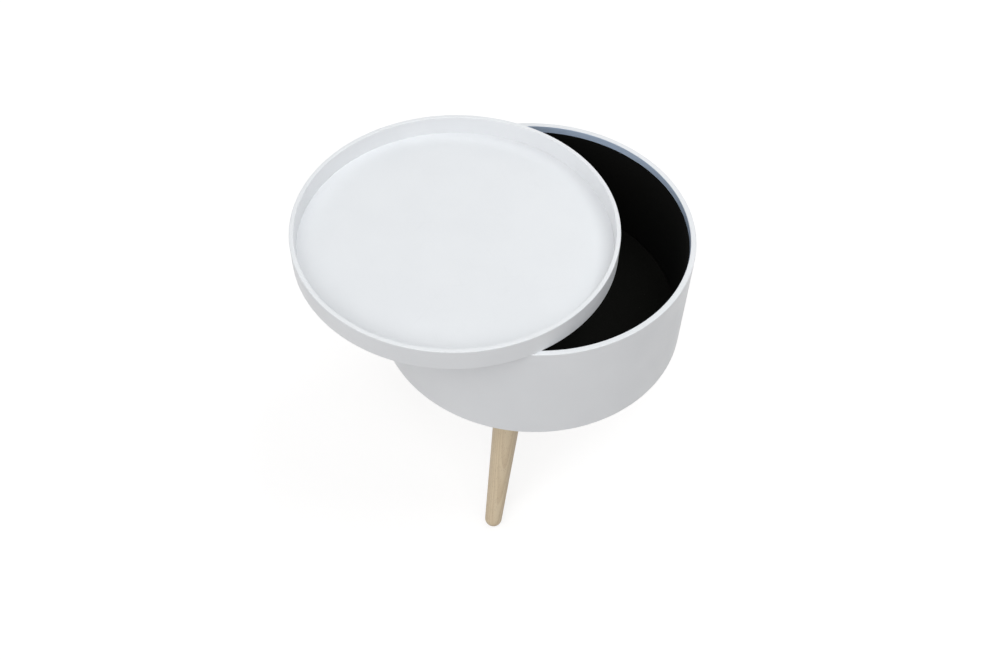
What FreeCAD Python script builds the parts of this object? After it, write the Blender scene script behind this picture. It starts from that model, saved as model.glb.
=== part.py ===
import FreeCAD, Part
import math
import os

# Round side table that stores things in its drum. A shallow tray with a raised rim is the
# lid: it lies loose on the drum's rim and lifts off. Three splayed, tapered beech legs are
# screwed to pressed steel plates under the drum.
#
# All lengths are in millimetres and all angles in degrees. The origin is the centre of the
# storage floor, on the drum's axis. +Z is up and -Y points to the front leg.

Vector = FreeCAD.Vector
UP = Vector(0, 0, 1)

# ---- driving dimensions -------------------------------------------------------------------

# drum: a bent wall, lacquered white, let over the edge of a flat base board
drum_diameter = 400.0
drum_height = 154.0
drum_wall = 7.0
drum_rim_break = 1.4
drum_foot_break = 1.6
base_thickness = 12.0
base_rabbet = 3.5
ground_to_drum = 237.0

# black felt that lines the drum, and the lacquered band left bare above it
lining_thickness = 1.5
bare_band = 9.6

# tray that closes the drum: a bent ring round a flat panel
tray_diameter = 400.0
tray_height = 30.4
tray_wall = 5.6
tray_depth = 26.0
tray_rim_break = 1.4
tray_foot_break = 0.8
panel_lip_width = 2.8
panel_lip_height = 2.4

# how far, and which way, the tray is pushed aside on the drum's rim
tray_offset = 100.0
tray_offset_direction = 206.0

# legs: straight tapers that run tangent into a domed foot, levelled where it meets the floor
leg_names = ("front", "right", "left")
front_leg_direction = -90.0
leg_root_radius = 90.0
leg_splay = 25.0
leg_top_diameter = 42.0
leg_dome_diameter = 23.2
leg_top_chamfer = 1.0
leg_foot_flat = 0.6

# pressed steel plate that holds each leg at its splay
plate_size = 76.0
plate_corner = 8.0
plate_sheet = 2.0
cup_margin = 4.0
cup_drop = 1.0

# M8 hanger bolt, and the nut welded inside the cup
bolt_diameter = 8.0
bolt_in_leg = 32.0
bolt_past_nut = 1.0
nut_across_flats = 13.0
nut_height = 5.5

# pan-head screws that hold the plates to the base board
screw_diameter = 4.0
screw_in_board = 9.5
screw_head_diameter = 8.0
screw_head_height = 2.4
screw_head_bevel = 0.8
screw_inset = 9.0

# clearances
glue_gap = 0.1
thread_gap = 0.05
hole_gap = 0.25
hole_end_gap = 0.5

# most of a wall's thickness that a broken edge may take: one of two that share it, or one alone
shared_break = 0.45
single_break = 0.8

# lengths closer than this are the same
sameness = 0.001

# ---- heights and radii that follow from them ----------------------------------------------

drum_radius = drum_diameter / 2
drum_bore = drum_radius - drum_wall
base_radius = drum_bore + base_rabbet - glue_gap
base_top = -lining_thickness
drum_bottom = base_top - base_thickness
rim_height = drum_bottom + drum_height

lining_radius = drum_bore - glue_gap
lining_bore = lining_radius - lining_thickness
lining_top = rim_height - bare_band

tray_radius = tray_diameter / 2
tray_bore = tray_radius - tray_wall
panel_thickness = tray_height - tray_depth

leg_spacing = 360 / len(leg_names)
leg_directions = {
    name: front_leg_direction + turn * leg_spacing for turn, name in enumerate(leg_names)
}
leg_top_radius = leg_top_diameter / 2
leg_dome_radius = leg_dome_diameter / 2
splay = math.radians(leg_splay)

# The leg's end face lies flat under a round cup, whose floor is tilted square to the leg. The
# floor's outer edge is the one nearest the board, and hangs one sheet and the drop below it.
cup_radius = leg_top_radius + cup_margin
cup_tilt = cup_radius * math.tan(splay)
cup_depth = plate_sheet + cup_drop + cup_tilt
cup_shift = cup_depth * math.tan(splay)

# The dome is a sphere whose underside is planed off level with the floor, so its centre's
# height sets the leg's length whatever the splay.
dome_height = leg_dome_radius - leg_foot_flat
dome_along = (ground_to_drum - cup_depth - dome_height) / math.cos(splay)
dome_shift = cup_shift + dome_along * math.sin(splay)


# ---- helpers ------------------------------------------------------------------------------


def lathe(profile):
    """Turn a closed outline of (radius, height) points once round the Z axis."""
    points = [Vector(radius, 0, height) for radius, height in profile]
    outline = Part.makePolygon(points + points[:1])
    return Part.Face(outline).revolve(Vector(0, 0, 0), UP, 360)


def is_ring(edge, radius, height):
    """Whether an edge is the circle of this radius, about the Z axis, at this height."""
    if edge.Degenerated or not isinstance(edge.Curve, Part.Circle):
        return False
    circle = edge.Curve
    return abs(circle.Radius - radius) < sameness and abs(circle.Center.z - height) < sameness


def eased(solid, size, *rings):
    """Break the circular edges that lie at the given (radius, height) rings."""
    edges = [edge for edge in solid.Edges if any(is_ring(edge, *ring) for ring in rings)]
    return solid.makeChamfer(size, edges)


def rod(radius, bottom, top):
    """A cylinder on the Z axis between two heights."""
    return Part.makeCylinder(radius, top - bottom, Vector(0, 0, bottom))


def along_leg(shape):
    """Lean a shape that was made on the Z axis outwards, so its origin is the leg's top end."""
    shape = shape.copy()
    shape.rotate(Vector(0, 0, 0), Vector(0, 1, 0), -leg_splay)
    shape.translate(Vector(cup_shift, 0, -cup_depth))
    return shape


def at_leg(shape, direction):
    """Carry a shape from the root of a leg on +X to its place under the drum."""
    shape = shape.copy()
    shape.translate(Vector(leg_root_radius, 0, drum_bottom))
    shape.rotate(Vector(0, 0, 0), UP, direction)
    return shape


def tray_place():
    """The tray's centre, on the plane of the drum's rim."""
    angle = math.radians(tray_offset_direction)
    return Vector(tray_offset * math.cos(angle), tray_offset * math.sin(angle), rim_height)


# ---- drum ---------------------------------------------------------------------------------


def make_drum_wall():
    """Bent wall: eased rim, and a rabbet below that takes the base board."""
    rabbet_radius = drum_bore + base_rabbet
    wall = lathe([
        (drum_radius, drum_bottom),
        (drum_radius, rim_height),
        (drum_bore, rim_height),
        (drum_bore, base_top),
        (rabbet_radius, base_top),
        (rabbet_radius, drum_bottom),
    ])
    rim_break = min(drum_rim_break, drum_wall * shared_break)
    wall = eased(wall, rim_break, (drum_radius, rim_height), (drum_bore, rim_height))
    foot_break = min(drum_foot_break, (drum_wall - base_rabbet) * single_break)
    return eased(wall, foot_break, (drum_radius, drum_bottom))


def screw_places():
    """Where a plate's screws stand, measured from the root of the leg."""
    reach = plate_size / 2 - screw_inset
    return [Vector(cup_shift + x * reach, y * reach, 0) for x in (-1, 1) for y in (-1, 1)]


def make_drum_base():
    """Round plywood board with a pilot hole for each plate screw."""
    board = rod(base_radius, drum_bottom, base_top)
    hole_radius = screw_diameter / 2 + thread_gap
    pilot = rod(hole_radius, 0, screw_in_board + hole_end_gap)
    holes = []
    for direction in leg_directions.values():
        for place in screw_places():
            hole = pilot.copy()
            hole.translate(place)
            holes.append(at_leg(hole, direction))
    return board.cut(holes)


def make_drum_lining():
    """Felt sleeve glued inside the wall, from the board to just below the rim."""
    return rod(lining_radius, base_top, lining_top).cut(rod(lining_bore, base_top, lining_top))


def make_floor_lining():
    """Felt disc glued to the board, inside the sleeve."""
    return rod(lining_bore - glue_gap, base_top, 0)


# ---- tray ---------------------------------------------------------------------------------


def make_tray_rim():
    """Bent ring with an eased top edge and a rabbet below for the panel's lip."""
    rabbet_radius = tray_bore + panel_lip_width
    ring = lathe([
        (tray_radius, 0),
        (tray_radius, tray_height),
        (tray_bore, tray_height),
        (tray_bore, panel_lip_height),
        (rabbet_radius, panel_lip_height),
        (rabbet_radius, 0),
    ])
    rim_break = min(tray_rim_break, tray_wall * shared_break)
    ring = eased(ring, rim_break, (tray_radius, tray_height), (tray_bore, tray_height))
    foot_break = min(tray_foot_break, (tray_wall - panel_lip_width) * single_break)
    ring = eased(ring, foot_break, (tray_radius, 0))
    ring.translate(tray_place())
    return ring


def make_tray_panel():
    """Flat panel whose lip seats in the ring, flush underneath so that the tray slides."""
    lip_radius = tray_bore + panel_lip_width - glue_gap
    face_radius = tray_bore - glue_gap
    panel = rod(lip_radius, 0, panel_lip_height).fuse(rod(face_radius, 0, panel_thickness))
    panel = panel.removeSplitter()
    panel.translate(tray_place())
    return panel


# ---- legs ---------------------------------------------------------------------------------


def leg_outline():
    """Half of the leg's long section: end face, straight taper, and an arc tangent to it."""
    # The taper is the tangent from the rim of the end face to the dome's circle.
    slant = math.hypot(leg_top_radius, dome_along)
    taper = math.atan2(leg_top_radius, dome_along) - math.asin(leg_dome_radius / slant)
    half_way = math.radians(45) + taper / 2

    def on_dome(angle):
        across = leg_dome_radius * math.cos(angle)
        return Vector(across, 0, -dome_along - leg_dome_radius * math.sin(angle))

    centre = Vector(0, 0, 0)
    rim = Vector(leg_top_radius, 0, 0)
    tip = on_dome(math.radians(90))
    return Part.Wire([
        Part.makeLine(centre, rim),
        Part.makeLine(rim, on_dome(taper)),
        Part.Arc(on_dome(taper), on_dome(half_way), tip).toShape(),
        Part.makeLine(tip, centre),
    ])


def make_leg():
    """Tapered leg, drilled for its hanger bolt, domed and levelled where it meets the floor."""
    leg = Part.Face(leg_outline()).revolve(Vector(0, 0, 0), UP, 360)
    leg = eased(leg, leg_top_chamfer, (leg_top_radius, 0))
    leg = leg.cut(rod(bolt_diameter / 2 + thread_gap, -bolt_in_leg - hole_end_gap, 0))
    below_ground = Part.makeBox(
        leg_dome_diameter, leg_dome_diameter, leg_dome_diameter,
        Vector(
            dome_shift - leg_dome_radius,
            -leg_dome_radius,
            -ground_to_drum - leg_dome_diameter,
        ),
    )
    return along_leg(leg).cut(below_ground)


def cup_of(radius, top, floor):
    """A round block down to a floor that is tilted square to the leg, at its place along it."""
    block = rod(radius, -cup_depth - cup_tilt, top)
    block.translate(Vector(cup_shift, 0, 0))
    reach = 2 * plate_size
    beyond = Part.makeBox(
        reach, reach, reach, Vector(-reach / 2, -reach / 2, floor - reach)
    )
    return block.cut(along_leg(beyond))


def make_leg_plate():
    """Pressed plate: a flat flange, and a hollow cup whose floor is tilted square to the leg."""
    half = plate_size / 2
    flange = Part.makeBox(
        plate_size, plate_size, plate_sheet,
        Vector(cup_shift - half, -half, -plate_sheet),
    )
    corners = [edge for edge in flange.Edges if edge.BoundBox.ZLength > sameness]
    flange = flange.makeFillet(plate_corner, corners)
    outside = cup_of(cup_radius, -plate_sheet, 0)
    inside = cup_of(cup_radius - plate_sheet, 0, plate_sheet)
    plate = flange.fuse(outside).cut(inside)

    bolt_hole = rod(bolt_diameter / 2 + hole_gap, -plate_sheet, 2 * plate_sheet)
    holes = [along_leg(bolt_hole)]
    for place in screw_places():
        hole = rod(screw_diameter / 2 + hole_gap, -2 * plate_sheet, plate_sheet)
        hole.translate(place)
        holes.append(hole)
    return plate.cut(holes).removeSplitter()


def make_hanger_bolt():
    """Headless bolt, from deep in the leg up through the cup's floor and the nut."""
    top = plate_sheet + nut_height + bolt_past_nut
    return along_leg(rod(bolt_diameter / 2, -bolt_in_leg, top))


def make_plate_nut():
    """Hexagon nut welded to the cup's floor, inside it."""
    sides = 6
    corner_radius = nut_across_flats / 2 / math.cos(math.pi / sides)
    corners = []
    for side in range(sides):
        angle = 2 * math.pi * side / sides
        x = corner_radius * math.cos(angle)
        y = corner_radius * math.sin(angle)
        corners.append(Vector(x, y, plate_sheet))
    outline = Part.makePolygon(corners + corners[:1])
    hexagon = Part.Face(outline).extrude(UP * nut_height)
    thread = rod(bolt_diameter / 2 + thread_gap, 0, plate_sheet + 2 * nut_height)
    return along_leg(hexagon.cut(thread))


def make_screw():
    """Pan-head screw that stands on the origin, head down."""
    shank_radius = screw_diameter / 2
    head_radius = screw_head_diameter / 2
    head_face = -plate_sheet
    head_end = head_face - screw_head_height
    screw = lathe([
        (0, head_end),
        (head_radius, head_end),
        (head_radius, head_face),
        (shank_radius, head_face),
        (shank_radius, screw_in_board),
        (0, screw_in_board),
    ])
    return eased(screw, screw_head_bevel, (head_radius, head_end))


def make_plate_screws():
    """The four screws of every plate, as separate solids."""
    screw = make_screw()
    screws = []
    for direction in leg_directions.values():
        for place in screw_places():
            copy = screw.copy()
            copy.translate(place)
            screws.append(at_leg(copy, direction))
    return Part.makeCompound(screws)


# ---- assembly -----------------------------------------------------------------------------


def make_parts():
    """Every piece of the table in its place, by name."""
    parts = {
        "drum_wall": make_drum_wall(),
        "drum_base": make_drum_base(),
        "drum_lining": make_drum_lining(),
        "floor_lining": make_floor_lining(),
        "tray_rim": make_tray_rim(),
        "tray_panel": make_tray_panel(),
        "plate_screws": make_plate_screws(),
    }
    per_leg = {
        "leg": make_leg(),
        "leg_plate": make_leg_plate(),
        "hanger_bolt": make_hanger_bolt(),
        "plate_nut": make_plate_nut(),
    }
    for side, direction in leg_directions.items():
        for name, shape in per_leg.items():
            parts[f"{name}_{side}"] = at_leg(shape, direction)
    return parts


os.makedirs("parts", exist_ok=True)
for node, shape in make_parts().items():
    shape.exportStep(f"parts/{node}.step")
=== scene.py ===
import math

import bmesh
import bpy
import numpy as np
from mathutils import Matrix, Vector


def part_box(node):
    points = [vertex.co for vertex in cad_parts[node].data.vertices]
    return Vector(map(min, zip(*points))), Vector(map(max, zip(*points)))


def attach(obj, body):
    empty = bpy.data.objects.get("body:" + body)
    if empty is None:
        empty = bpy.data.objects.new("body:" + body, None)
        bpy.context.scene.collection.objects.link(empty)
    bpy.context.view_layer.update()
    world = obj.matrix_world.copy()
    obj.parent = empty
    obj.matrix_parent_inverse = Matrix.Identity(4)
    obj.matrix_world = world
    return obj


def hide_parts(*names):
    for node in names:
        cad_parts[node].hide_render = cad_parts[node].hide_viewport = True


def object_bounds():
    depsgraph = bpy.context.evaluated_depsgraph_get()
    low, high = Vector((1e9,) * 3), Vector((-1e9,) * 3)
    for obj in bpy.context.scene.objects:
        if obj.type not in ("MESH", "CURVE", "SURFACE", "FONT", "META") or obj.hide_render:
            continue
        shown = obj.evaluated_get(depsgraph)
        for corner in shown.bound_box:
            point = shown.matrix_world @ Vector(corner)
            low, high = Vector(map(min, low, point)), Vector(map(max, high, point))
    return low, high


# A round storage side table: a white lacquered drum lined with black felt, a shallow lift-off
# tray as its lid, and three tapered beech legs on pressed steel plates. All lengths are in
# metres. +Z is up, the origin is the middle of the storage floor and -Y is the front leg's way.

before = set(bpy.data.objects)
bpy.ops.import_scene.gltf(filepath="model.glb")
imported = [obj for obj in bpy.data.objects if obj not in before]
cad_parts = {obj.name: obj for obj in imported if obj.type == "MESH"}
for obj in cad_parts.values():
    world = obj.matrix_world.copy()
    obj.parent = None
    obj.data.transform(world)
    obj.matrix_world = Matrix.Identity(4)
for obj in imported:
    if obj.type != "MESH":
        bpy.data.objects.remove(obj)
cad_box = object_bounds()

mm = 0.001

# ---- sizes --------------------------------------------------------------------------------

# round edges, as the lacquer leaves them
drum_rim_round = 1.1 * mm
drum_foot_round = 1.2 * mm
tray_rim_round = 1.3 * mm
tray_foot_round = 1.1 * mm
hidden_round = 0.3 * mm

# walls
drum_wall = 7.0 * mm
drum_rabbet = 3.5 * mm
tray_wall = 5.6 * mm
tray_rabbet = 2.8 * mm
glue_gap = 0.1 * mm

# lip of the tray's panel under the ring, and the cove of lacquer that fills their joint, with
# its thin upper edge
panel_lip_height = 2.4 * mm
joint_cove = 0.9 * mm
cove_edge_height = 1.2 * joint_cove
cove_edge_half = 0.02 * mm
cove_edge_round = 0.03 * mm

# felt
felt_thickness = 1.5 * mm
felt_edge_round = 0.6 * mm
felt_waviness = 0.12 * mm
felt_edge_waviness = 0.3 * mm

# share of the felt disc's radius over which its waves rise from nothing
felt_calm_share = 0.25

# legs and their plates
leg_directions = {"front": -90, "right": 30, "left": 150}
leg_root_radius = 90.0 * mm
splay = math.radians(25)
leg_top_radius = 21.0 * mm
leg_top_round = 1.2 * mm
dome_radius = 11.6 * mm
foot_flat = 0.6 * mm

# from one leg to the next, its wood lies this far round and this far along the log
grain_turn = 1.0
grain_step = 370.0 * mm

plate_half = 38.0 * mm
plate_corner = 8.0 * mm
plate_sheet = 2.0 * mm
plate_edge_round = 0.5 * mm
cup_radius = leg_top_radius + 4.0 * mm
cup_drop = 1.0 * mm
cup_round = 2.4 * mm

# pan-head screws
screw_inset = 9.0 * mm
screw_shank_radius = 2.0 * mm
screw_head_radius = 4.0 * mm
screw_head_height = 2.4 * mm
screw_head_round = 1.5 * mm
screw_length = 9.5 * mm
recess_arm = 2.1 * mm
recess_half_width = 0.55 * mm
recess_depth = 1.3 * mm
recess_side_slope = 0.4 * mm
recess_end_slope = 0.5 * mm

# fineness of the surfaces
ring_steps = 288
leg_steps = 96
plate_steps = 200
screw_steps = 48
arc_steps = 8
screw_arc_steps = 5
dome_steps = 40
sleeve_rows = 24
carpet_rings = 60
panel_rings = 24
shaft_rows = 30
screw_face_rings = 14
merge_distance = 0.0001 * mm

# most of a run that an arc may take, and how far past an arc its flat is held flat
arc_share = 0.48
edge_support = 0.3 * mm
support_share = 0.02

# ---- places that follow from the frame ----------------------------------------------------

drum_low, drum_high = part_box("drum_wall")
tray_low, tray_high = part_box("tray_rim")
panel_low, panel_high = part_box("tray_panel")
board_low, board_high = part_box("drum_base")
sleeve_low, sleeve_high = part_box("drum_lining")
carpet_low, carpet_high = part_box("floor_lining")
ground = cad_box[0][2]

drum_radius = drum_high.x
drum_bore = drum_radius - drum_wall
tray_radius = (tray_high.x - tray_low.x) / 2
tray_bore = tray_radius - tray_wall
tray_centre = np.array([(tray_low.x + tray_high.x) / 2, (tray_low.y + tray_high.y) / 2, 0])

cup_tilt = cup_radius * math.tan(splay)
cup_depth = plate_sheet + cup_drop + cup_tilt
cup_shift = cup_depth * math.tan(splay)
dome_along = (board_low.z - ground - cup_depth - dome_radius + foot_flat) / math.cos(splay)


# ---- surfaces -----------------------------------------------------------------------------


def path(corners, rounds, steps=arc_steps):
    """A path of straight runs joined by arcs, for each of one or more sections at once.

    corners is (corner, section, 2) and rounds is (corner, section). At a corner, u and v are
    the ways back and on, and b is half the angle between them. The arc of radius q has its
    centre q / sin b along u + v, touches the runs at q / tan b from the corner, and turns from
    one touching point to the other by even angles. A point just outside each end of an arc
    keeps the flat beside it flat in the light. Returns the points, and 1 on arcs and 0 off.
    """
    points = [corners[0]]
    on_arc = [0.0]
    for index in range(1, len(corners) - 1):
        here = corners[index]
        back = corners[index - 1] - here
        onward = corners[index + 1] - here
        back_length = np.linalg.norm(back, axis=-1, keepdims=True)
        onward_length = np.linalg.norm(onward, axis=-1, keepdims=True)
        u = back / back_length
        v = onward / onward_length
        middle = u + v
        middle = middle / np.linalg.norm(middle, axis=-1, keepdims=True)
        half = np.arccos(np.clip((u * v).sum(-1, keepdims=True), -1, 1)) / 2
        room = arc_share * np.minimum(back_length, onward_length) * np.tan(half)
        arc = np.minimum(rounds[index][:, None], room)
        touch = arc / np.tan(half)
        centre = here + middle * arc / np.sin(half)
        first = here + u * touch - centre
        last = here + v * touch - centre
        turn = math.pi - 2 * half
        support = np.minimum(edge_support, support_share * back_length)
        points.append(here + u * (touch + support))
        on_arc.append(0.0)
        for step in np.linspace(0, 1, steps + 1):
            swept = np.sin((1 - step) * turn) * first + np.sin(step * turn) * last
            points.append(centre + swept / np.sin(turn))
            on_arc.append(1.0)
        support = np.minimum(edge_support, support_share * onward_length)
        points.append(here + v * (touch + support))
        on_arc.append(0.0)
    points.append(corners[-1])
    on_arc.append(0.0)
    return np.array(points), np.array(on_arc)


def section(*corners, steps=arc_steps):
    """The path through corners given as (radius, height, round), and its on-arc marks."""
    table = np.array(corners, float)
    points, on_arc = path(table[:, None, :2], table[:, None, 2], steps)
    return points[:, 0], on_arc


def loop(*corners):
    """A closed section: it starts and ends half way along its first side."""
    start = [(corners[0][0] + corners[-1][0]) / 2, (corners[0][1] + corners[-1][1]) / 2, 0]
    points, on_arc = section(start, *corners, start)
    return points[:-1], on_arc[:-1]


def turned(profile, steps=ring_steps):
    """Points of a profile turned about Z: (r cos a, r sin a, h) for every r, h and angle a."""
    angle = 2 * math.pi * np.arange(steps) / steps
    radius, height = profile[:, :1], profile[:, 1:]
    return np.stack([
        radius * np.cos(angle),
        radius * np.sin(angle),
        height + 0 * angle,
    ], axis=-1)


def leant(points):
    """Points made about the leg's own axis, leant outwards so their origin is its top end."""
    x, y, z = points[..., 0], points[..., 1], points[..., 2]
    return np.stack([
        x * math.cos(splay) - z * math.sin(splay) + cup_shift,
        y,
        x * math.sin(splay) + z * math.cos(splay) - cup_depth,
    ], axis=-1)


def under_drum(points, direction):
    """Points made about the root of a leg on +X, carried to their place under the drum."""
    turn = math.radians(direction)
    x, y, z = points[..., 0] + leg_root_radius, points[..., 1], points[..., 2]
    return np.stack([
        x * math.cos(turn) - y * math.sin(turn),
        x * math.sin(turn) + y * math.cos(turn),
        z + board_low.z,
    ], axis=-1)


def skin(name, points, closed=False, marks=None):
    """A mesh over a grid of points: each joined to the next row's and the next column's.

    Columns wrap round, and rows do when closed. A row that shrinks to one point is merged.
    marks are named arrays over the grid, one value or one vector a point.
    """
    rows, columns = points.shape[:2]
    row = np.arange(rows if closed else rows - 1)[:, None]
    column = np.arange(columns)[None, :]
    next_row = (row + 1) % rows
    next_column = (column + 1) % columns
    corners = np.stack(np.broadcast_arrays(
        row * columns + column,
        row * columns + next_column,
        next_row * columns + next_column,
        next_row * columns + column,
    ), axis=-1)
    mesh = bpy.data.meshes.new(name)
    mesh.from_pydata(points.reshape(-1, 3).tolist(), [], corners.reshape(-1, 4).tolist())
    for mark, values in (marks or {}).items():
        is_vector = values.ndim == 3
        kind, field = ("FLOAT_VECTOR", "vector") if is_vector else ("FLOAT", "value")
        attribute = mesh.attributes.new(mark, kind, "POINT")
        attribute.data.foreach_set(field, values.astype(np.float32).ravel())
    shape = bmesh.new()
    shape.from_mesh(mesh)
    bmesh.ops.remove_doubles(shape, verts=shape.verts, dist=merge_distance)
    bmesh.ops.recalc_face_normals(shape, faces=shape.faces)
    shape.to_mesh(mesh)
    shape.free()
    mesh.shade_smooth()
    piece = bpy.data.objects.new(name, mesh)
    bpy.context.scene.collection.objects.link(piece)
    return piece


def spread(values, points):
    """One value a row, laid out over a grid of points."""
    return np.repeat(values[:, None], points.shape[1], axis=1)


def dress(piece, body, slot, material, *nodes):
    """Give a piece its material, let it ride on a body and stand for its nodes."""
    piece.data.materials.append(material)
    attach(piece, body)
    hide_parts(*nodes)


# ---- effects that the finishes share ------------------------------------------------------


def feed(tree, node, values):
    """Set a node's inputs, by name or number, to values or to other nodes' outputs."""
    for key, value in values.items():
        if isinstance(value, bpy.types.NodeSocket):
            tree.links.new(value, node.inputs[key])
        else:
            node.inputs[key].default_value = value
    return node


def add(tree, kind, values=None, **settings):
    """Add a shader node, with its settings and its inputs."""
    node = tree.nodes.new("ShaderNode" + kind)
    for name, value in settings.items():
        setattr(node, name, value)
    return feed(tree, node, values or {})


def maths(tree, operation, *values):
    """The output of a Math node on the given values."""
    return add(tree, "Math", dict(enumerate(values)), operation=operation).outputs[0]


def mixed(tree, factor, first, second):
    """Two colours mixed by a factor."""
    node = add(tree, "Mix", {0: factor, 6: first, 7: second}, data_type="RGBA")
    return node.outputs[2]


def ranged(tree, value, low, high, to_low=0.0, to_high=1.0):
    """A value taken smoothly from one range to another, and held at its ends."""
    node = add(tree, "MapRange", {
        "Value": value, "From Min": low, "From Max": high, "To Min": to_low, "To Max": to_high,
    }, interpolation_type="SMOOTHSTEP")
    return node.outputs["Result"]


def noise(tree, place, scale, detail=2.0, roughness=0.5):
    """Noise from 0 to 1 at a place."""
    node = add(tree, "TexNoise", {
        "Vector": place, "Scale": scale, "Detail": detail, "Roughness": roughness,
    })
    return node.outputs["Fac"]


def stretched(tree, place, by):
    """A place multiplied by an amount of its own each way, which draws a pattern out."""
    node = add(tree, "VectorMath", {0: place, 1: by}, operation="MULTIPLY")
    return node.outputs[0]


def bent(tree, place, waver, reach):
    """A place pushed aside by a colour, at most as far as reach each way."""
    node = add(tree, "VectorMath", {0: waver, 1: reach, 2: place}, operation="MULTIPLY_ADD")
    return node.outputs[0]


def facing_up(tree, least):
    """1 where the surface faces straight up, and 0 where its upward share is under the least."""
    ways = add(tree, "SeparateXYZ", {0: add(tree, "NewGeometry").outputs["Normal"]})
    return ranged(tree, ways.outputs["Z"], least, 1.0)


def effect(name, inputs, outputs):
    """A node group with named inputs and outputs. Returns it, its inputs and its end node."""
    group = bpy.data.node_groups.new(name, "ShaderNodeTree")
    for label, kind in inputs.items():
        group.interface.new_socket(
            name=label, in_out="INPUT", socket_type="NodeSocket" + kind
        )
    for label, kind in outputs.items():
        group.interface.new_socket(
            name=label, in_out="OUTPUT", socket_type="NodeSocket" + kind
        )
    return group, group.nodes.new("NodeGroupInput").outputs, group.nodes.new("NodeGroupOutput")


def use(tree, group, values):
    """Put an effect into a material, and return its outputs."""
    node = tree.nodes.new("ShaderNodeGroup")
    node.node_tree = group
    return feed(tree, node, values).outputs


def make_tone_drift():
    """A colour that drifts towards another in soft patches."""
    tree, given, end = effect(
        "tone drift",
        {"Place": "Vector", "Patch": "Float", "Colour": "Color", "Other": "Color"},
        {"Colour": "Color"},
    )
    scale = maths(tree, "DIVIDE", 1.0, given["Patch"])
    patches = ranged(tree, noise(tree, given["Place"], scale, 3.0), 0.35, 0.65)
    feed(tree, end, {"Colour": mixed(tree, patches, given["Colour"], given["Other"])})
    return tree


def make_sprayed_skin():
    """The shallow dimples and the uneven gloss of sprayed lacquer."""
    tree, given, end = effect(
        "sprayed skin",
        {"Place": "Vector", "Dimple": "Float", "Smoothest": "Float", "Roughest": "Float"},
        {"Height": "Float", "Roughness": "Float"},
    )
    scale = maths(tree, "DIVIDE", 1.0, given["Dimple"])
    dimples = noise(tree, given["Place"], scale, 1.0)
    broad = noise(tree, given["Place"], maths(tree, "MULTIPLY", scale, 0.22), 1.0)
    height = maths(tree, "MULTIPLY_ADD", broad, 1.6, dimples)
    patches = noise(tree, given["Place"], maths(tree, "MULTIPLY", scale, 0.05), 4.0, 0.6)
    gloss = ranged(tree, patches, 0.3, 0.7, given["Smoothest"], given["Roughest"])
    feed(tree, end, {"Height": height, "Roughness": gloss})
    return tree


def make_worn_edge():
    """A mask of the spots where an edge has been rubbed: noise that only edges let through."""
    tree, given, end = effect(
        "worn edge",
        {"Place": "Vector", "Edge": "Float", "Spot": "Float", "Amount": "Float"},
        {"Mask": "Float"},
    )
    scale = maths(tree, "DIVIDE", 1.0, given["Spot"])
    spots = noise(tree, given["Place"], scale, 5.0, 0.65)
    rubbed = ranged(tree, spots, 0.45, 0.7)
    mask = maths(tree, "MULTIPLY", rubbed, given["Edge"])
    feed(tree, end, {"Mask": maths(tree, "MULTIPLY", mask, given["Amount"])})
    return tree


def make_settled_dust():
    """A mask of fine dust that settles on what faces up."""
    tree, given, end = effect(
        "settled dust",
        {"Place": "Vector", "Grain": "Float", "Amount": "Float"},
        {"Mask": "Float"},
    )
    scale = maths(tree, "DIVIDE", 1.0, given["Grain"])
    specks = ranged(tree, noise(tree, given["Place"], scale, 6.0, 0.8), 0.52, 0.75)
    mask = maths(tree, "MULTIPLY", facing_up(tree, 0.6), specks)
    feed(tree, end, {"Mask": maths(tree, "MULTIPLY", mask, given["Amount"])})
    return tree


def make_wiped_marks():
    """A mask of faint hairlines on what faces up, as things put down and a cloth leave them.

    Noise is drawn out along a few ways that curve slowly, and shows only in places.
    """
    tree, given, end = effect(
        "wiped marks",
        {"Place": "Vector", "Width": "Float", "Amount": "Float"},
        {"Mask": "Float"},
    )
    line_ways = (0.35, 1.15, 2.5)
    line_stretch = (1.0, 0.02, 0.02)
    curve_reach = (0.06, 0.06, 0.0)
    slow = add(tree, "TexNoise", {"Vector": given["Place"], "Scale": 5.0, "Detail": 1.0})
    curved = bent(tree, given["Place"], slow.outputs["Color"], curve_reach)
    scale = maths(tree, "DIVIDE", 1.0, given["Width"])
    lines = 0.0
    for way in line_ways:
        faced = add(tree, "VectorRotate", {
            "Vector": curved, "Angle": way,
        }, rotation_type="Z_AXIS")
        drawn = stretched(tree, faced.outputs[0], line_stretch)
        line = ranged(tree, noise(tree, drawn, scale, 2.0, 0.6), 0.64, 0.74)
        lines = maths(tree, "MAXIMUM", lines, line)
    used = ranged(tree, noise(tree, given["Place"], 14.0, 2.0), 0.42, 0.6)
    mask = maths(tree, "MULTIPLY", maths(tree, "MULTIPLY", lines, used), facing_up(tree, 0.9))
    feed(tree, end, {"Mask": maths(tree, "MULTIPLY", mask, given["Amount"])})
    return tree


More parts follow.
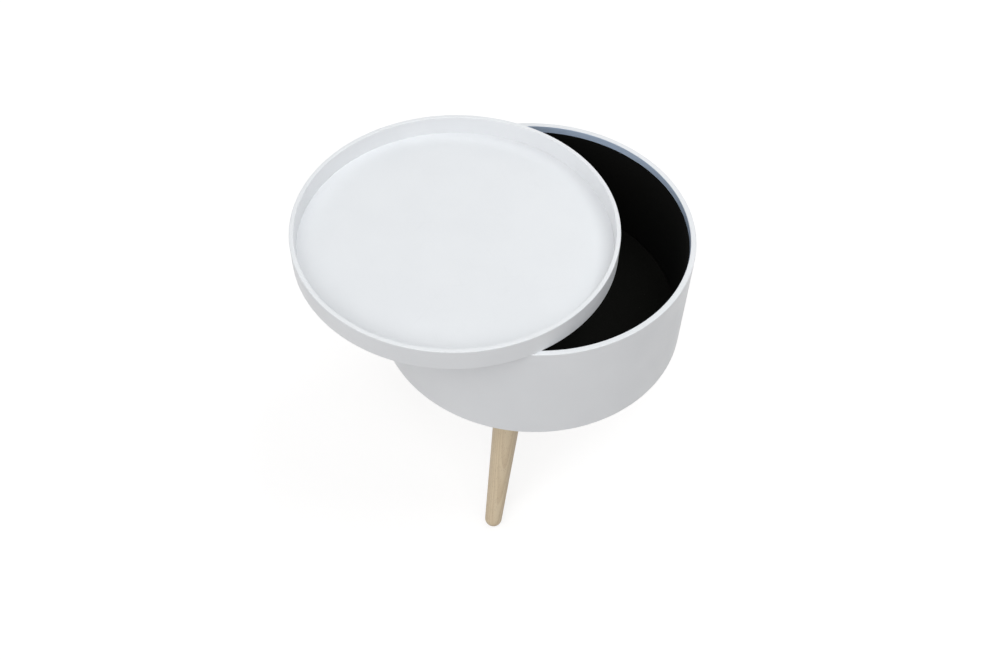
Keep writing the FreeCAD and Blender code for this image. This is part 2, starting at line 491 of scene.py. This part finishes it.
def make_turned_grain():
    """Wood cut from a log whose heart lies beside the piece.

    Growth rings are even steps of the distance from the heart line, bent by slow noise. Short
    dark flecks lie along the grain, in some of the cells of a stretched cell pattern.
    """
    tree, given, end = effect(
        "turned grain",
        {"Place": "Vector", "Ring": "Float", "Pale": "Color", "Late": "Color", "Fleck": "Color"},
        {"Colour": "Color", "Height": "Float"},
    )
    heart_place = (0.047, 0.021, 0.0)
    bend_reach = (0.010, 0.010, 0.0)
    bends_a_metre = (22.0, 22.0, 5.0)
    flecks_a_metre = (1300.0, 1300.0, 210.0)
    fibres_a_metre = (3800.0, 3800.0, 160.0)

    slow = stretched(tree, given["Place"], bends_a_metre)
    bend = add(tree, "TexNoise", {"Vector": slow, "Scale": 1.0, "Detail": 2.0})
    grown = bent(tree, given["Place"], bend.outputs["Color"], bend_reach)
    heart = add(tree, "VectorMath", {0: grown, 1: heart_place}, operation="SUBTRACT")
    flat = stretched(tree, heart.outputs[0], (1.0, 1.0, 0.0))
    distance = add(tree, "VectorMath", {0: flat}, operation="LENGTH").outputs["Value"]
    year = maths(tree, "FRACT", maths(tree, "DIVIDE", distance, given["Ring"]))
    late = maths(tree, "MULTIPLY", ranged(tree, year, 0.25, 0.9), ranged(tree, year, 1.0, 0.93))
    rings = mixed(tree, maths(tree, "MULTIPLY", late, 0.75), given["Pale"], given["Late"])

    long = stretched(tree, given["Place"], flecks_a_metre)
    cells = add(tree, "TexVoronoi", {"Vector": long, "Scale": 1.0})
    chosen = add(tree, "SeparateColor", {0: cells.outputs["Color"]}).outputs[0]
    fleck = maths(
        tree, "MULTIPLY",
        ranged(tree, cells.outputs["Distance"], 0.42, 0.16),
        ranged(tree, chosen, 0.45, 0.75),
    )

    fine = stretched(tree, given["Place"], fibres_a_metre)
    fibres = noise(tree, fine, 1.0, 2.0, 0.6)
    marked = mixed(tree, maths(tree, "MULTIPLY", fleck, 0.6), rings, given["Fleck"])
    shade = ranged(tree, fibres, 0.3, 0.7, 0.0, 0.16)
    colour = mixed(tree, shade, marked, given["Fleck"])
    height = maths(tree, "SUBTRACT", fibres, maths(tree, "MULTIPLY", fleck, 0.8))
    feed(tree, end, {"Colour": colour, "Height": height})
    return tree


def make_felt_nap():
    """Matted fibres: fine noise drawn out along three ways, with a little pale lint."""
    tree, given, end = effect(
        "felt nap",
        {"Place": "Vector", "Fibre": "Float", "Colour": "Color", "Lint": "Color"},
        {"Colour": "Color", "Height": "Float"},
    )
    scale = maths(tree, "DIVIDE", 1.0, given["Fibre"])
    strands = []
    for stretch in ((1.0, 0.22, 0.5), (0.25, 1.0, 0.6), (0.5, 0.6, 0.2)):
        drawn = stretched(tree, given["Place"], stretch)
        strands.append(noise(tree, drawn, scale, 3.0, 0.7))
    matted = maths(tree, "MAXIMUM", maths(tree, "MAXIMUM", strands[0], strands[1]), strands[2])
    clumps = noise(tree, given["Place"], maths(tree, "MULTIPLY", scale, 0.06), 2.0)
    lint_cells = add(tree, "TexVoronoi", {
        "Vector": given["Place"], "Scale": maths(tree, "MULTIPLY", scale, 0.09),
    })
    speck = ranged(tree, lint_cells.outputs["Distance"], 0.10, 0.03)
    lint = maths(tree, "MULTIPLY", speck, ranged(tree, clumps, 0.5, 0.62))
    raised = maths(tree, "MULTIPLY", ranged(tree, matted, 0.5, 0.85), 0.3)
    amount = maths(tree, "MAXIMUM", raised, maths(tree, "MULTIPLY", lint, 0.8))
    feed(tree, end, {
        "Colour": mixed(tree, amount, given["Colour"], given["Lint"]),
        "Height": maths(tree, "MULTIPLY_ADD", clumps, 1.5, matted),
    })
    return tree


def make_plated_metal():
    """Plating: a crystal mottle in the gloss, and fine scratches."""
    tree, given, end = effect(
        "plated metal",
        {"Place": "Vector", "Crystal": "Float", "Bright": "Color", "Dull": "Color"},
        {"Colour": "Color", "Roughness": "Float", "Height": "Float"},
    )
    scale = maths(tree, "DIVIDE", 1.0, given["Crystal"])
    cells = add(tree, "TexVoronoi", {"Vector": given["Place"], "Scale": scale})
    crystal = add(tree, "SeparateColor", {0: cells.outputs["Color"]}).outputs[0]
    drawn = stretched(tree, given["Place"], (1.0, 0.04, 0.3))
    lines = noise(tree, drawn, maths(tree, "MULTIPLY", scale, 14.0), 4.0, 0.7)
    scratch = ranged(tree, lines, 0.6, 0.75)
    dull = maths(tree, "MULTIPLY_ADD", crystal, 0.35, maths(tree, "MULTIPLY", scratch, 0.3))
    feed(tree, end, {
        "Colour": mixed(tree, dull, given["Bright"], given["Dull"]),
        "Roughness": ranged(tree, dull, 0.0, 0.65, 0.26, 0.46),
        "Height": scratch,
    })
    return tree


tone_drift = make_tone_drift()
sprayed_skin = make_sprayed_skin()
worn_edge = make_worn_edge()
settled_dust = make_settled_dust()
wiped_marks = make_wiped_marks()
turned_grain = make_turned_grain()
felt_nap = make_felt_nap()
plated_metal = make_plated_metal()


# ---- finishes -----------------------------------------------------------------------------

white = (0.816, 0.828, 0.843, 1)
duller_white = (0.801, 0.813, 0.829, 1)
# the two blue-greys below are painted shade: a darker tone for the band inside the drum's rim,
# which lies in shade
painted_shade_blue = (0.50, 0.60, 0.745, 1)
deeper_painted_shade_blue = (0.47, 0.575, 0.73, 1)
rubbed_white = (0.70, 0.705, 0.70, 1)
hairline_grey = (0.5, 0.5, 0.5, 1)
pale_dust = (0.55, 0.53, 0.50, 1)

pale_beech = (0.725, 0.605, 0.428, 1)
late_beech = (0.62, 0.490, 0.330, 1)
beech_fleck = (0.42, 0.305, 0.198, 1)
deeper_beech = (0.66, 0.53, 0.362, 1)
rubbed_beech = (0.45, 0.34, 0.24, 1)

# two tones of one black felt: the sleeve's darker tone is painted shade and the floor's lighter
# tone is painted light, for how much light reaches the wall and the floor
sleeve_black_painted_shade = (0.0023, 0.0023, 0.0018, 1)
carpet_black_painted_light = (0.0067, 0.0067, 0.0056, 1)
lint_paleness = 6

bright_zinc = (0.66, 0.67, 0.68, 1)
dull_zinc = (0.46, 0.47, 0.49, 1)
rubbed_zinc = (0.78, 0.78, 0.77, 1)


def new_finish(name):
    """A material with a bare Principled shader. Returns it, its tree and the shader."""
    material = bpy.data.materials.new(name)
    material.use_nodes = True
    tree = material.node_tree
    shader = next(node for node in tree.nodes if node.type == "BSDF_PRINCIPLED")
    return material, tree, shader


def bump(tree, height, distance, strength):
    """A normal bent by a height."""
    node = add(tree, "Bump", {"Height": height, "Distance": distance, "Strength": strength})
    return node.outputs["Normal"]


def make_white_lacquer():
    """Satin white lacquer, sprayed, with faint rubbing on the edges and a little dust.

    Inside the drum, above the felt, the band of the wall is painted a darker blue-grey: painted
    shade, for the shade that band lies in.
    """
    material, tree, shader = new_finish("white satin lacquer")
    place = add(tree, "TexCoord").outputs["Object"]
    tone = use(tree, tone_drift, {
        "Place": place, "Patch": 0.09, "Colour": white, "Other": duller_white,
    })
    painted_shade_tone = use(tree, tone_drift, {
        "Place": place, "Patch": 0.03, "Colour": painted_shade_blue, "Other": deeper_painted_shade_blue,
    })
    skin_of = use(tree, sprayed_skin, {
        "Place": place, "Dimple": 0.0021, "Smoothest": 0.36, "Roughest": 0.50,
    })
    marks = use(tree, wiped_marks, {"Place": place, "Width": 0.0012, "Amount": 1.0})["Mask"]
    edge = add(tree, "Attribute", attribute_name="edge").outputs["Fac"]
    worn = use(tree, worn_edge, {"Place": place, "Edge": edge, "Spot": 0.004, "Amount": 0.4})
    # the band inside the drum above the felt takes the darker blue-grey: painted shade
    band = add(tree, "Attribute", attribute_name="painted_shade_band").outputs["Fac"]
    coat = mixed(tree, band, tone["Colour"], painted_shade_tone["Colour"])
    rubbed = mixed(tree, worn["Mask"], coat, rubbed_white)
    dust = use(tree, settled_dust, {"Place": place, "Grain": 0.0012, "Amount": 0.05})
    dusty = mixed(tree, dust["Mask"], rubbed, pale_dust)
    marked = mixed(tree, maths(tree, "MULTIPLY", marks, 0.07), dusty, hairline_grey)
    height = maths(tree, "MULTIPLY_ADD", marks, -0.5, skin_of["Height"])
    feed(tree, shader, {
        "Base Color": marked,
        "Roughness": maths(tree, "MULTIPLY_ADD", marks, 0.16, skin_of["Roughness"]),
        "Specular IOR Level": 0.45,
        "Normal": bump(tree, height, distance=0.00009, strength=0.8),
    })
    return material


def make_beech():
    """Pale beech, turned and matt-lacquered."""
    material, tree, shader = new_finish("matt lacquered beech")
    place = add(tree, "Attribute", attribute_name="in_leg").outputs["Vector"]
    grain = use(tree, turned_grain, {
        "Place": place, "Ring": 0.0027,
        "Pale": pale_beech, "Late": late_beech, "Fleck": beech_fleck,
    })
    tone = use(tree, tone_drift, {
        "Place": place, "Patch": 0.05, "Colour": grain["Colour"], "Other": deeper_beech,
    })
    colour = mixed(tree, 0.3, grain["Colour"], tone["Colour"])
    skin_of = use(tree, sprayed_skin, {
        "Place": place, "Dimple": 0.0016, "Smoothest": 0.42, "Roughest": 0.56,
    })
    edge = add(tree, "Attribute", attribute_name="edge").outputs["Fac"]
    worn = use(tree, worn_edge, {"Place": place, "Edge": edge, "Spot": 0.003, "Amount": 0.35})
    feed(tree, shader, {
        "Base Color": mixed(tree, worn["Mask"], colour, rubbed_beech),
        "Roughness": skin_of["Roughness"],
        "Specular IOR Level": 0.4,
        "Normal": bump(tree, grain["Height"], distance=0.00005, strength=0.6),
    })
    return material


def make_black_felt(name, tone):
    """Thin black felt, glued down."""
    material, tree, shader = new_finish(name)
    place = add(tree, "TexCoord").outputs["Object"]
    lint = tuple(lint_paleness * value for value in tone[:3]) + (1,)
    nap = use(tree, felt_nap, {
        "Place": place, "Fibre": 0.0009, "Colour": tone, "Lint": lint,
    })
    feed(tree, shader, {
        "Base Color": nap["Colour"],
        "Roughness": 0.95,
        "Specular IOR Level": 0.12,
        "Normal": bump(tree, nap["Height"], distance=0.00022, strength=0.9),
    })
    return material


def make_zinc_steel():
    """Zinc-plated pressed steel."""
    material, tree, shader = new_finish("zinc plated steel")
    place = add(tree, "TexCoord").outputs["Object"]
    plating = use(tree, plated_metal, {
        "Place": place, "Crystal": 0.0045, "Bright": bright_zinc, "Dull": dull_zinc,
    })
    edge = add(tree, "Attribute", attribute_name="edge").outputs["Fac"]
    worn = use(tree, worn_edge, {"Place": place, "Edge": edge, "Spot": 0.002, "Amount": 0.6})
    feed(tree, shader, {
        "Base Color": mixed(tree, worn["Mask"], plating["Colour"], rubbed_zinc),
        "Roughness": plating["Roughness"],
        "Metallic": 1.0,
        "Normal": bump(tree, plating["Height"], distance=0.00002, strength=0.5),
    })
    return material


# ---- drum ---------------------------------------------------------------------------------


def make_drum_wall():
    """Bent wall: a closed section with a round rim, turned once round."""
    profile, on_arc = loop(
        (drum_radius, drum_low.z, drum_foot_round),
        (drum_radius, drum_high.z, drum_rim_round),
        (drum_bore, drum_high.z, drum_rim_round),
        (drum_bore, board_high.z, hidden_round),
        (drum_bore + drum_rabbet, board_high.z, hidden_round),
        (drum_bore + drum_rabbet, drum_low.z, hidden_round),
    )
    # marks the band of the wall's inner face above the felt, which the lacquer paints darker
    # blue-grey as painted shade
    painted_shade_band = (profile[:, 0] < drum_bore + hidden_round) * 1.0
    points = turned(profile)
    marks = {"edge": spread(on_arc, points), "painted_shade_band": spread(painted_shade_band, points)}
    return skin("bent_drum_wall", points, closed=True, marks=marks)


def waves(angle, along, kinds):
    """A slow unevenness from -1 to 1: the mean of a few crossing sine waves.

    Each is the sine of turns times the angle, plus rise times the length along, plus phase.
    """
    total = 0
    for turns, rise, phase in kinds:
        total = total + np.sin(turns * angle + rise * along + phase)
    return total / len(kinds)


# turns, rise and phase of each wave
felt_waves = ((7, 31.0, 0.4), (11, -47.0, 1.9), (19, 83.0, 2.7), (29, 120.0, 5.1))


def make_felt_sleeve():
    """Felt sleeve: its inner face and its top edge stand a little unevenly."""
    inner = sleeve_high.x - felt_thickness
    profile, _ = section(
        (sleeve_high.x, sleeve_low.z, 0),
        (sleeve_high.x, sleeve_high.z, hidden_round),
        (inner, sleeve_high.z, felt_edge_round),
        (inner, sleeve_low.z, 0),
    )
    run = np.linspace(profile[-2], profile[-1], sleeve_rows)
    profile = np.concatenate([profile[:-1], run[1:]])
    points = turned(profile)
    angle = np.arctan2(points[..., 1], points[..., 0])
    wave = waves(angle, points[..., 2], felt_waves)
    depth = (sleeve_high.x - np.hypot(points[..., 0], points[..., 1])) / felt_thickness
    top = np.clip((points[..., 2] - sleeve_high.z) / felt_edge_round + 1, 0, 1)
    inward = 1 - depth * felt_waviness * (wave + 1) / sleeve_high.x
    points[..., 0] *= inward
    points[..., 1] *= inward
    points[..., 2] -= top * felt_edge_waviness * (wave + 1) / 2
    return skin("felt_sleeve", points, closed=True)


def make_felt_floor():
    """Felt disc: its upper face swells a little unevenly, but not at its very middle."""
    radius = carpet_high.x
    flat = radius - 2 * felt_edge_round
    run = np.linspace((0, carpet_high.z), (flat, carpet_high.z), carpet_rings)
    edge, _ = section(
        (radius - felt_edge_round, carpet_high.z, 0),
        (radius, carpet_high.z, felt_edge_round / 2),
        (radius, carpet_low.z, hidden_round),
        (0, carpet_low.z, 0),
    )
    points = turned(np.concatenate([run, edge]))
    angle = np.arctan2(points[..., 1], points[..., 0])
    reach = np.hypot(points[..., 0], points[..., 1])
    wave = waves(angle, reach, felt_waves) * np.clip(reach / (felt_calm_share * radius), 0, 1)
    upper = np.clip((points[..., 2] - carpet_low.z) / felt_thickness, 0, 1)
    points[..., 2] -= upper * felt_waviness * (wave + 1)
    return skin("felt_floor", points)


# ---- tray ---------------------------------------------------------------------------------


def make_tray_ring():
    """Bent ring of the tray: a closed section with a round top edge, turned once round."""
    lip_top = panel_low.z + panel_lip_height
    profile, on_arc = loop(
        (tray_radius, tray_low.z, tray_foot_round),
        (tray_radius, tray_high.z, tray_rim_round),
        (tray_bore, tray_high.z, tray_rim_round),
        (tray_bore, lip_top, hidden_round),
        (tray_bore + tray_rabbet, lip_top, hidden_round),
        (tray_bore + tray_rabbet, tray_low.z, hidden_round),
    )
    points = turned(profile)
    marks = {"edge": spread(on_arc, points)}
    return skin("bent_tray_ring", points + tray_centre, closed=True, marks=marks)


def make_tray_panel():
    """Panel of the tray: a flat disc that the lacquer joins to the ring in a small cove.

    The cove is a quarter circle from the flat up the ring's wall.
    """
    bore = tray_bore - glue_gap
    lip = bore + tray_rabbet
    lip_top = panel_low.z + panel_lip_height
    flat = bore - 3 * joint_cove
    run = np.linspace((0, panel_high.z), (flat, panel_high.z), panel_rings)
    edge, _ = section(
        (bore - 2 * joint_cove, panel_high.z, 0),
        (bore - cove_edge_half, panel_high.z, joint_cove),
        (bore, panel_high.z + cove_edge_height, cove_edge_round),
        (bore + cove_edge_half, panel_high.z, cove_edge_round),
        (bore, lip_top, hidden_round),
        (lip, lip_top, hidden_round),
        (lip, panel_low.z, hidden_round),
        (0, panel_low.z, 0),
    )
    points = turned(np.concatenate([run, edge]))
    return skin("tray_panel_board", points + tray_centre)


# ---- legs ---------------------------------------------------------------------------------


def make_leg(side, direction, number):
    """Turned leg: a straight taper that runs tangent into a dome, planed level at the floor."""
    slant = math.hypot(leg_top_radius, dome_along)
    taper = math.atan2(leg_top_radius, dome_along) - math.asin(dome_radius / slant)
    top, on_arc = section(
        (0, 0, 0),
        (leg_top_radius, 0, leg_top_round),
        (dome_radius * math.cos(taper), -dome_along - dome_radius * math.sin(taper), 0),
    )
    shaft = np.linspace(top[-2], top[-1], shaft_rows)
    angle = np.linspace(taper, math.pi / 2, dome_steps)[1:]
    dome = np.stack([
        dome_radius * np.cos(angle),
        -dome_along - dome_radius * np.sin(angle),
    ], axis=-1)
    profile = np.concatenate([top[:-2], shaft, dome])
    edge = np.concatenate([on_arc[:-2], np.zeros(len(shaft) + len(dome))])
    made = turned(profile, leg_steps)
    points = under_drum(leant(made), direction)
    points[..., 2] = np.maximum(points[..., 2], ground)
    in_wood = made @ turned_wood(number * grain_turn)
    in_wood[..., 2] += number * grain_step
    marks = {"in_leg": in_wood, "edge": spread(edge, points)}
    return skin(f"turned_leg_{side}", points, marks=marks)


def turned_wood(angle):
    """A turn about the leg's own axis, so that no two legs show the same side of the log."""
    return np.array([
        [math.cos(angle), math.sin(angle), 0],
        [-math.sin(angle), math.cos(angle), 0],
        [0, 0, 1],
    ])


def square_reach(angle):
    """How far the rounded square of the flange reaches at an angle.

    A side is half / max(|cos|, |sin|) away. In a corner, the ray meets a circle about the
    corner's centre.
    """
    along, across = np.abs(np.cos(angle)), np.abs(np.sin(angle))
    side = plate_half / np.maximum(along, across)
    inner = plate_half - plate_corner
    middle = inner * (along + across)
    corner = middle + np.sqrt(np.maximum(middle**2 - 2 * inner**2 + plate_corner**2, 0))
    in_corner = side * np.minimum(along, across) > inner
    return np.where(in_corner, corner, side)


def make_leg_plate(side, direction):
    """Pressed plate: a section for every angle about the cup's middle.

    It runs out along the underside of the cup and flange and back along the upper side. The
    cup's floor is the plane z = -depth + tan(splay) x, so its wall has another height at every
    angle.
    """
    angle = 2 * math.pi * np.arange(plate_steps) / plate_steps
    rise = math.tan(splay) * np.cos(angle)
    reach = square_reach(angle)
    inner = cup_radius - plate_sheet
    floor_top = -cup_depth + plate_sheet / math.cos(splay)
    same = np.ones(plate_steps)
    corners = np.stack([
        np.stack([0 * same, -cup_depth * same], -1),
        np.stack([cup_radius * same, -cup_depth + cup_radius * rise], -1),
        np.stack([cup_radius * same, -plate_sheet * same], -1),
        np.stack([reach, -plate_sheet * same], -1),
        np.stack([reach, 0 * same], -1),
        np.stack([inner * same, 0 * same], -1),
        np.stack([inner * same, floor_top + inner * rise], -1),
        np.stack([0 * same, floor_top * same], -1),
    ])
    radii = (0, cup_round, cup_round, plate_edge_round, plate_edge_round, cup_round, cup_round, 0)
    rounds = np.array(radii)[:, None] * same
    profile, on_arc = path(corners, rounds)
    points = np.stack([
        profile[..., 0] * np.cos(angle) + cup_shift,
        profile[..., 0] * np.sin(angle),
        profile[..., 1],
    ], axis=-1)
    marks = {"edge": spread(on_arc, points)}
    return skin(f"pressed_leg_plate_{side}", under_drum(points, direction), marks=marks)


def make_screw(name, place, direction):
    """Pan-head screw, head down, with a cross recess.

    The recess sinks where a point lies within half an arm's width of either axis and inside
    the arm's length, with soft sides.
    """
    head_face = -plate_sheet
    head_end = head_face - screw_head_height
    face_reach = 0.6 * screw_head_radius
    face_end = 0.62 * screw_head_radius
    face = np.linspace((0, head_end), (face_reach, head_end), screw_face_rings)
    rest, _ = section(
        (face_end, head_end, 0),
        (screw_head_radius, head_end, screw_head_round),
        (screw_head_radius, head_face, hidden_round),
        (screw_shank_radius, head_face, hidden_round),
        (screw_shank_radius, screw_length, hidden_round),
        (0, screw_length, 0),
        steps=screw_arc_steps,
    )
    points = turned(np.concatenate([face, rest]), screw_steps)
    x, y, z = points[..., 0], points[..., 1], points[..., 2]
    nearer = np.minimum(np.abs(x), np.abs(y))
    across = np.clip((recess_half_width - nearer) / recess_side_slope + 0.5, 0, 1)
    along = np.clip((recess_arm - np.hypot(x, y)) / recess_end_slope + 0.5, 0, 1)
    on_face = z < head_end + hidden_round
    points[..., 2] += recess_depth * across * along * on_face
    points = points + np.array([place[0], place[1], 0])
    return skin(name, under_drum(points, direction))


def make_screws():
    """The four screws of every plate, joined in one piece."""
    reach = plate_half - screw_inset
    screws = []
    for direction in leg_directions.values():
        for along in (-1, 1):
            for across in (-1, 1):
                place = (cup_shift + along * reach, across * reach)
                screws.append(make_screw(f"pan_screw_{len(screws)}", place, direction))
    joined = bmesh.new()
    for screw in screws:
        joined.from_mesh(screw.data)
    first = screws[0]
    joined.to_mesh(first.data)
    joined.free()
    first.data.shade_smooth()
    first.name = "pan_screws"
    for screw in screws[1:]:
        bpy.data.objects.remove(screw)
    return first


# ---- the table ----------------------------------------------------------------------------

white_lacquer = make_white_lacquer()
beech = make_beech()
# one felt in two tones: darker on the sleeve as painted shade, lighter on the floor as painted
# light
sleeve_felt_painted_shade = make_black_felt("black felt, painted shade copy, on edge", sleeve_black_painted_shade)
carpet_felt_painted_light = make_black_felt("black felt, painted light copy, laid", carpet_black_painted_light)
zinc_steel = make_zinc_steel()

dress(make_drum_wall(), "drum", "white_lacquer", white_lacquer, "drum_wall")
felt_sleeve = make_felt_sleeve()
dress(felt_sleeve, "drum", "black_felt", sleeve_felt_painted_shade, "drum_lining")
felt_floor = make_felt_floor()
dress(felt_floor, "drum", "black_felt", carpet_felt_painted_light, "floor_lining")
dress(make_tray_ring(), "tray", "white_lacquer", white_lacquer, "tray_rim")
dress(make_tray_panel(), "tray", "white_lacquer", white_lacquer, "tray_panel")
for number, (side, direction) in enumerate(leg_directions.items()):
    leg = make_leg(side, direction, number)
    dress(leg, "drum", "beech", beech, f"leg_{side}")
    plate = make_leg_plate(side, direction)
    dress(plate, "drum", "zinc_steel", zinc_steel, f"leg_plate_{side}")
dress(make_screws(), "drum", "zinc_steel", zinc_steel, "plate_screws")

kept_nodes = {"drum_base": white_lacquer}
for side in leg_directions:
    kept_nodes[f"hanger_bolt_{side}"] = zinc_steel
    kept_nodes[f"plate_nut_{side}"] = zinc_steel
for name, material in kept_nodes.items():
    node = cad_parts[name]
    node.data.materials.clear()
    node.data.materials.append(material)


# ---- floor, light and camera --------------------------------------------------------------


def seen_directly(tree):
    """1 on rays that come from the camera, a reflection or through glass, else 0."""
    rays = add(tree, "LightPath").outputs
    straight = maths(tree, "MAXIMUM", rays["Is Camera Ray"], rays["Is Glossy Ray"])
    return maths(tree, "MAXIMUM", straight, rays["Is Transmission Ray"])


def make_floor():
    """Plain pale floor. Seen directly, it glows up to white and keeps the table's shadow.

    Further out, where the lamps no longer reach, the glow alone makes it white.
    """
    half = 20.0
    grey = (0.37, 0.365, 0.36, 1)
    corners = [(-half, -half), (half, -half), (half, half), (-half, half)]
    mesh = bpy.data.meshes.new("floor")
    mesh.from_pydata([(x, y, ground) for x, y in corners], [], [(0, 1, 2, 3)])
    floor = bpy.data.objects.new("floor", mesh)
    bpy.context.scene.collection.objects.link(floor)
    material = bpy.data.materials.new("pale floor")
    material.use_nodes = True
    tree = material.node_tree
    tree.nodes.clear()
    paint = add(tree, "BsdfDiffuse", {"Color": grey})
    place = add(tree, "TexCoord").outputs["Object"]
    reach = add(tree, "VectorMath", {0: place}, operation="LENGTH").outputs["Value"]
    brightness = ranged(tree, reach, low=0.8, high=4.0, to_low=0.72, to_high=1.0)
    shown = maths(tree, "MULTIPLY", seen_directly(tree), brightness)
    glow = add(tree, "Emission", {"Color": (1, 1, 1, 1), "Strength": shown})
    both = add(tree, "AddShader", {0: paint.outputs[0], 1: glow.outputs[0]})
    add(tree, "OutputMaterial", {"Surface": both.outputs[0]})
    mesh.materials.append(material)


def make_world():
    """Even light from all round, and white behind the table."""
    world = bpy.data.worlds.new("studio")
    bpy.context.scene.world = world
    world.use_nodes = True
    tree = world.node_tree
    tree.nodes.clear()
    around = add(tree, "Background", {"Color": (1.01, 1.0, 0.99, 1), "Strength": 0.198})
    behind = add(tree, "Background", {"Color": (1, 1, 1, 1), "Strength": 1.0})
    both = add(tree, "MixShader", {
        0: seen_directly(tree), 1: around.outputs[0], 2: behind.outputs[0],
    })
    add(tree, "OutputWorld", {"Surface": both.outputs[0]})


def make_soft_box(name, place, size, energy, colour):
    """A square soft lamp, aimed at the middle of the drum."""
    lamp = bpy.data.lights.new(name, "AREA")
    lamp.shape = "SQUARE"
    lamp.size = size
    lamp.energy = energy
    lamp.color = colour
    box = bpy.data.objects.new(name, lamp)
    box.location = place
    box.rotation_euler = (-Vector(place)).to_track_quat("-Z", "Y").to_euler()
    bpy.context.scene.collection.objects.link(box)


def make_camera():
    """Camera that looks down on the open side of the drum from the front."""
    place = (0.17653, -0.98431, 1.15425)
    heading = math.radians(12.85)
    pitch = math.radians(50.541)
    roll = math.radians(1.206)
    lens = bpy.data.cameras.new("camera")
    lens.lens = 41.527
    lens.sensor_width = 36.0
    lens.clip_end = 60.0
    camera = bpy.data.objects.new("camera", lens)
    camera.matrix_world = (
        Matrix.Translation(place)
        @ Matrix.Rotation(heading, 4, "Z")
        @ Matrix.Rotation(math.pi / 2 - pitch, 4, "X")
        @ Matrix.Rotation(roll, 4, "Z")
    )
    bpy.context.scene.collection.objects.link(camera)
    bpy.context.scene.camera = camera


make_floor()
make_world()
make_soft_box(
    "key", place=(1.92, 0.89, 4.53), size=3.0, energy=84, colour=(0.94, 0.98, 1.0),
)
make_soft_box(
    "front", place=(-0.56, -3.17, 3.83), size=4.0, energy=119, colour=(0.98, 1.0, 1.01),
)
make_soft_box(
    "front, right", place=(2.27, -3.92, 2.11), size=4.0, energy=54, colour=(1.0, 0.98, 1.0),
)
make_soft_box(
    "left", place=(-4.81, -0.42, 1.29), size=4.0, energy=57, colour=(1.0, 0.98, 1.0),
)
make_soft_box(
    "back", place=(0.82, 4.63, 1.71), size=4.0, energy=66, colour=(1.0, 0.99, 1.0),
)
make_camera()
bpy.context.scene.view_settings.view_transform = "Standard"
